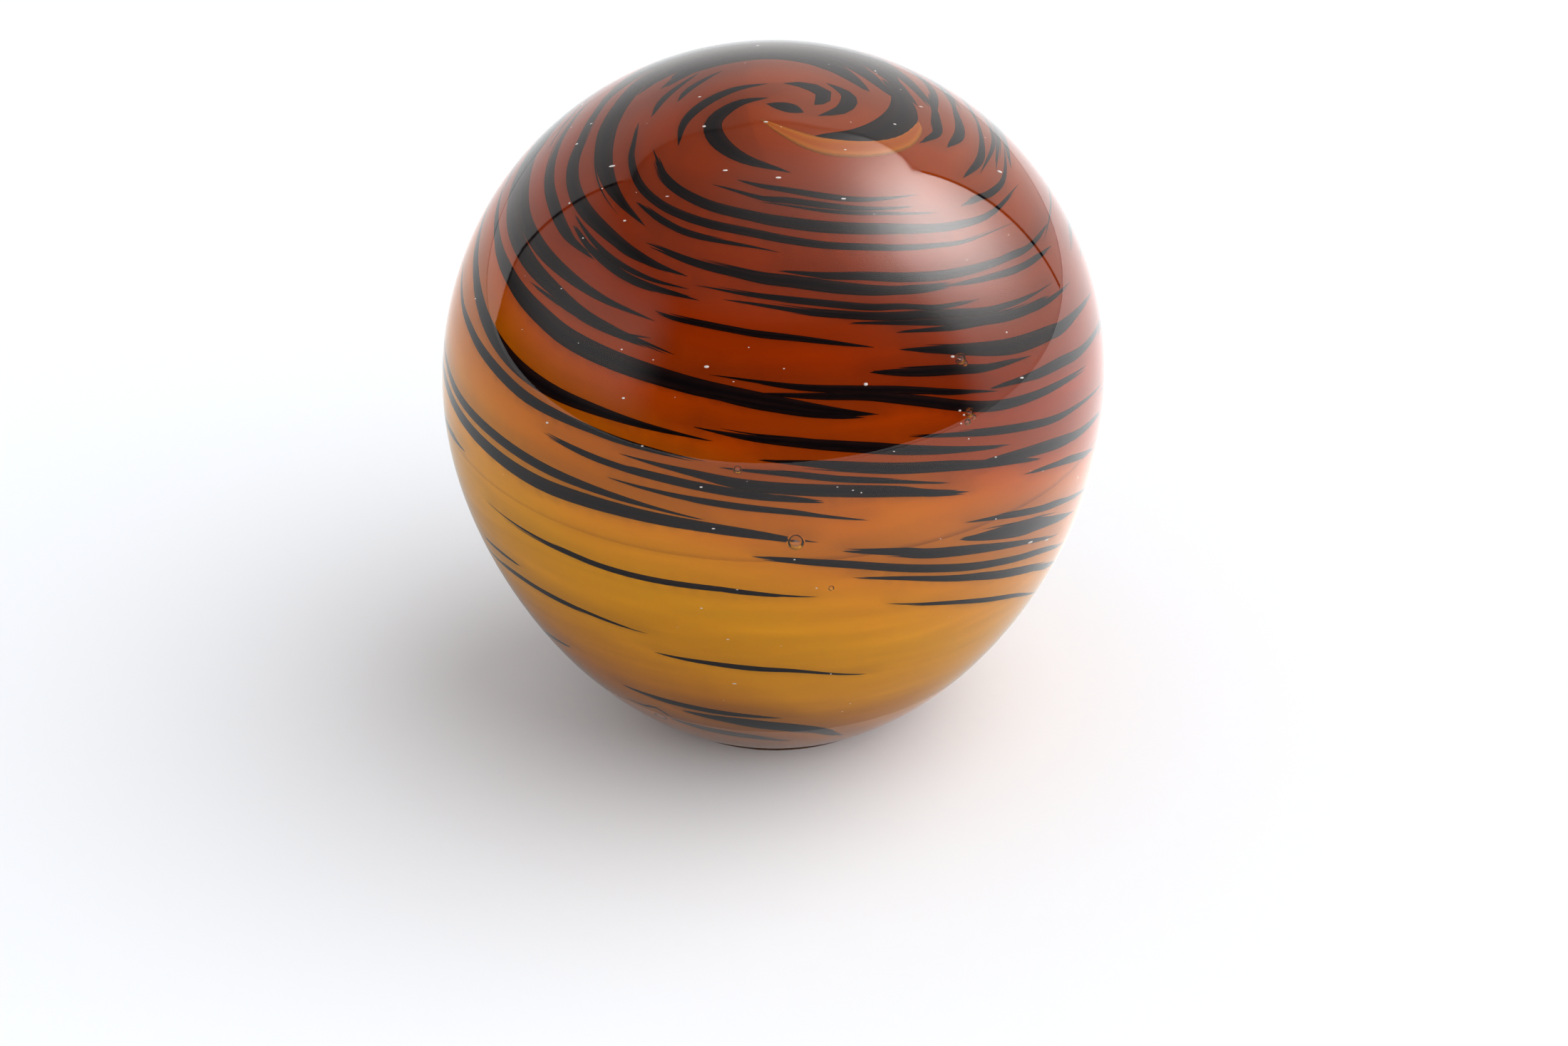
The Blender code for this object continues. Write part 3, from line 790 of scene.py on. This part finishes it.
def seed_painted_glint():
    # Painted glint: the whitish colour stands in for the light that the gas specks reflect.
    return Nodes("seed_painted_glint", Base_Color=(0.80, 0.78, 0.76, 1.0), Roughness=0.3).material


def emission(name, colour):
    """A glowing surface whose strength is its vertices' "glow"."""
    n = Nodes(name)
    n.tree.nodes.remove(n.shader)
    light = n.add("ShaderNodeEmission")
    n.value(light, Color=(*colour, 1.0))
    n.join(n.painted("glow"), light.inputs["Strength"])
    n.join(light.outputs[0], n.tree.nodes["Material Output"].inputs["Surface"])
    return n.material


# ---- bubbles ----------------------------------------------------------------

def ball(points, faces, centre, size, detail, hollow=False):
    """Adds a small ellipsoid. size is its three half axes; a hollow one faces inwards."""
    first = len(points)
    columns = detail * 2
    points.append(centre + np.array([0, 0, size[2]]))
    for r in range(1, detail):
        t = math.pi * r / detail
        for c in range(columns):
            a = 2 * math.pi * c / columns
            points.append(centre + size * np.array([math.sin(t) * math.cos(a),
                                                    math.sin(t) * math.sin(a), math.cos(t)]))
    points.append(centre - np.array([0, 0, size[2]]))
    made = closed_faces(first, detail - 1, columns)
    faces.extend(tuple(reversed(f)) for f in made) if hollow else faces.extend(made)


def between(direction, share):
    """A point in the clear glass, from the colour (0) to the outside (1)."""
    inner = on_layer(direction, COLOUR)
    outer = on_layer(direction, BODY)
    return inner + (outer - inner) * share


def bubbles():
    points, faces = [], []
    for azimuth, polar, share, diameter in BUBBLES:
        centre = between(aim(azimuth, polar), share)
        ball(points, faces, centre, np.full(3, diameter / 2), 12, hollow=True)
    piece = new_mesh("air_bubbles", points, faces, clear_glass())
    piece.visible_shadow = False
    return piece


def seeds():
    rng = random.Random(4)
    points, faces = [], []
    for azimuth, polar, long, wide in SPECKS:
        ball(points, faces, between(aim(azimuth, polar), rng.uniform(0.05, 0.3)),
             0.5 * MM * np.array([long, wide, 0.8 * wide]), 8)
    for _ in range(SEEDS):
        polar = math.degrees(math.acos(rng.uniform(-0.75, 1.0)))
        centre = between(aim(rng.uniform(0, 360), polar), rng.uniform(0.08, 0.9))
        size = rng.choice(SEED_SIZES) * MM
        long = size * rng.uniform(*SEED_STRETCH)
        ball(points, faces, centre, np.array([long, size, size * 0.8]), 5)
    return new_mesh("seeds", points, faces, seed_painted_glint())


# ---- stage ------------------------------------------------------------------

def floor():
    n = Nodes("white_paper", Base_Color=(*PAPER_COLOUR, 1.0), Roughness=1.0,
              Specular_IOR_Level=0.0)
    corners = [(x * PAPER_END, y * PAPER_END, PAPER_DEPTH)
               for x, y in ((-1, -1), (1, -1), (1, 1), (-1, 1))]
    new_mesh("floor", corners, [(0, 1, 2, 3)], n.material)


def ease(x, low, high):
    """From 0 at low to 1 at high, smoothly."""
    t = min(1.0, max(0.0, (x - low) / (high - low)))
    return t * t * (3 - 2 * t)


def lamp_glow(toward):
    """One large soft lamp with a halo around it."""
    azimuth, elevation = LAMP
    aside = math.degrees(math.asin(float(np.dot(toward, aim(azimuth + 90.0, 90.0)))))
    ahead = float(np.dot(toward, aim(azimuth, 90.0)))
    rise = math.degrees(math.atan2(toward[2], ahead)) - elevation
    fall = (rise / LAMP_UP) ** 2 if rise > 0 else abs(rise / LAMP_DOWN) ** 2.6
    apart = math.degrees(math.acos(min(1.0, float(np.dot(toward, aim(*HALO))))))
    return (LAMP_GLOW * math.exp(-(aside / LAMP_ASIDE) ** 2 - fall)
            + HALO_GLOW * math.exp(-(apart / HALO_REACH) ** 2))


def dark_room_glow(azimuth, elevation):
    """A dark, empty room with a paler ceiling and a pale wall on each side."""
    ceiling = 0.30 * ease(elevation, 41, 52) + 0.30 * ease(elevation, 66, 84)
    left = 1.25 * ease(-azimuth, 38, 58) * (1 - 0.3 * ease(-azimuth, 80, 112))
    left *= ease(elevation, 1, 20) * (1 - ease(elevation, 27, 56))
    right = TENT_GLOW * ease(azimuth, 62, 78) * (1 - ease(elevation, 46, 60))
    return max(ceiling, left, right)


def tent_glow(azimuth, elevation):
    """White cloth, dimmer on the left as it rises."""
    left = 1.35 - 0.35 * ease(elevation, 0, 28) - 0.45 * ease(elevation, 30, 54)
    return left + (TENT_GLOW - left) * ease(math.sin(math.radians(azimuth)), -0.25, 0.25)


def room_glow(azimuth, elevation):
    """A white tent around the glass, open in front on the dark room and its lamp."""
    edge = TENT_LEFT + 7.0 * ease(-elevation, -14, 0) if azimuth < 0 else TENT_RIGHT
    into = abs(edge) - abs(azimuth)
    if elevation > 45.0:
        top = TENT_TOP + 12.0 * ease(abs(azimuth), 126, 164)
        into = max(into, 1.6 * (elevation - top))
        seam = 1.0 - 0.4 * math.exp(-(into / 1.5) ** 2)
    else:
        seam = ease(abs(into), 0.35, 0.9)
    room_light = dark_room_glow(azimuth, elevation) + lamp_glow(aim(azimuth, 90.0 - elevation))
    tent = tent_glow(azimuth, elevation)
    return seam * (tent + (room_light - tent) * ease(into, -0.5, 0.5))


def paper_glow(azimuth, far):
    """The paper as the glass reflects it: brightest by the lamp, dim in the glass's shade."""
    from_lamp = math.cos(math.radians(azimuth - SHEEN_FROM))
    if from_lamp > 0:
        bright = SHEEN_GLOW + SHEEN_TOWARD * from_lamp ** 2
    else:
        bright = SHEEN_GLOW + SHEEN_AWAY * from_lamp
    shade = SHADE_REACH - SHADE_SHIFT * from_lamp
    out = ease(far, SHEEN_START, SHEEN_START + shade)
    return bright * (SHADE_GLOW + (1.0 - SHADE_GLOW) * out)


def reflected(name, azimuths, steps, place, glow, material):
    """A glowing surface over azimuths and steps that only the glass's reflections see."""
    points = [place(azimuth, step) for step in steps for azimuth in azimuths]
    across = len(azimuths)
    faces = []
    for r in range(len(steps) - 1):
        for a in range(r * across, (r + 1) * across - 1):
            faces.append((a, a + 1, a + across + 1, a + across))
    piece = new_mesh(name, points, faces, material)
    set_values(piece, "glow", [glow(azimuth, step) for step in steps for azimuth in azimuths])
    piece.visible_camera = False
    piece.visible_diffuse = False
    piece.visible_transmission = False
    piece.visible_volume_scatter = False
    piece.visible_shadow = False


def room():
    def place(azimuth, elevation):
        return ROOM_R * aim(azimuth, 90.0 - elevation)

    reflected("dark_room", np.linspace(-180.0, 180.0, 601), np.linspace(0.0, 90.0, 121),
              place, room_glow, emission("dark_room", ROOM_COLOUR))


def paper_reflection():
    def place(azimuth, far):
        return far * aim(azimuth, 90.0) + np.array([0.0, 0.0, SHEEN_HEIGHT])

    reflected("paper_reflection", np.linspace(0.0, 360.0, 97),
              np.geomspace(SHEEN_START, PAPER_END, 41), place, paper_glow,
              emission("paper_glow", SHEEN_COLOUR))


def key_light():
    """The soft lamp that lights the paper and the colour. The room draws its reflection."""
    azimuth, elevation = KEY_AIM
    data = bpy.data.lights.new("key_light", "AREA")
    data.shape = "DISK"
    data.size = KEY_SIZE
    data.energy = KEY_POWER
    data.color = KEY_COLOUR
    lamp = bpy.data.objects.new("key_light", data)
    bpy.context.scene.collection.objects.link(lamp)
    toward = Vector(tuple(aim(azimuth, 90.0 - elevation)))
    lamp.location = Vector(tuple(MIDDLE)) + toward * KEY_DISTANCE
    lamp.rotation_euler = toward.to_track_quat("Z", "Y").to_euler()
    lamp.visible_camera = False
    lamp.visible_glossy = False
    lamp.visible_transmission = False


def sky():
    """White surroundings, a little darker overhead."""
    world = bpy.data.worlds.new("white_studio")
    bpy.context.scene.world = world
    world.use_nodes = True
    tree = world.node_tree
    place = tree.nodes.new("ShaderNodeTexCoord")
    split = tree.nodes.new("ShaderNodeSeparateXYZ")
    tree.links.new(place.outputs["Generated"], split.inputs[0])
    height = tree.nodes.new("ShaderNodeMapRange")
    for socket, value in zip(("From Min", "From Max", "To Min", "To Max"),
                             SKY_HEIGHTS + SKY_GLOW):
        height.inputs[socket].default_value = value
    tree.links.new(split.outputs["Z"], height.inputs["Value"])
    back = tree.nodes["Background"]
    back.inputs["Color"].default_value = (1.0, 1.0, 1.0, 1.0)
    tree.links.new(height.outputs["Result"], back.inputs["Strength"])


def camera():
    data = bpy.data.cameras.new("camera")
    data.lens = LENS
    data.sensor_width = SENSOR
    data.clip_start = 0.01
    data.clip_end = 20.0
    eye = bpy.data.objects.new("camera", data)
    bpy.context.scene.collection.objects.link(eye)
    up = math.radians(VIEW_ELEVATION)
    eye.location = (AIM_RIGHT, -VIEW_DISTANCE * math.cos(up),
                    MIDDLE[2] + VIEW_DISTANCE * math.sin(up))
    eye.rotation_euler = Euler((math.radians(90.0 - VIEW_ELEVATION - AIM_BELOW), 0.0, 0.0))
    bpy.context.scene.camera = eye


# ---- build ------------------------------------------------------------------

def nodes_named(start):
    return sorted(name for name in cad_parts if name.startswith(start))


def place_piece(piece, slot, *replaced):
    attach(piece, "root")
    if replaced:
        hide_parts(*replaced)


def place_streaks(streaks):
    black = black_glass()
    rng = random.Random(7)
    for family in ("crown", "shoulder", "waist", "lower", "rear"):
        strips = Strip()
        for belongs, width, knots in streaks:
            if belongs != family:
                continue
            if family == "crown":
                strips.leaf(knots, width)
            else:
                drawn(strips, knots, width, rng)
        place_piece(strips.piece(family + "_streaks", black), "black_glass",
                    *nodes_named(family + "_trail"))


def main():
    streaks = streak_paths()
    place_piece(glass_body(), "clear_glass", "clear_casing")
    place_piece(amber_core(streaks), "amber_glass", "amber_core")
    place_piece(red_overlay(streaks), "red_glass", "red_overlay")

    width, knots = FOLD
    fold = Strip()
    fold.leaf([dial(x, y) for x, y in knots], width, lift=0.5 * STREAK_LIFT, crown=0.1)
    place_piece(fold.piece("amber_fold_glass", fold_glass()), "fold_glass", "amber_fold")
    place_streaks(streaks)
    place_piece(bubbles(), "clear_glass")
    place_piece(seeds(), "clear_glass")

    floor()
    room()
    paper_reflection()
    key_light()
    sky()
    camera()
    view = bpy.context.scene.view_settings
    view.view_transform = "Standard"
    view.gamma = GAMMA


main()
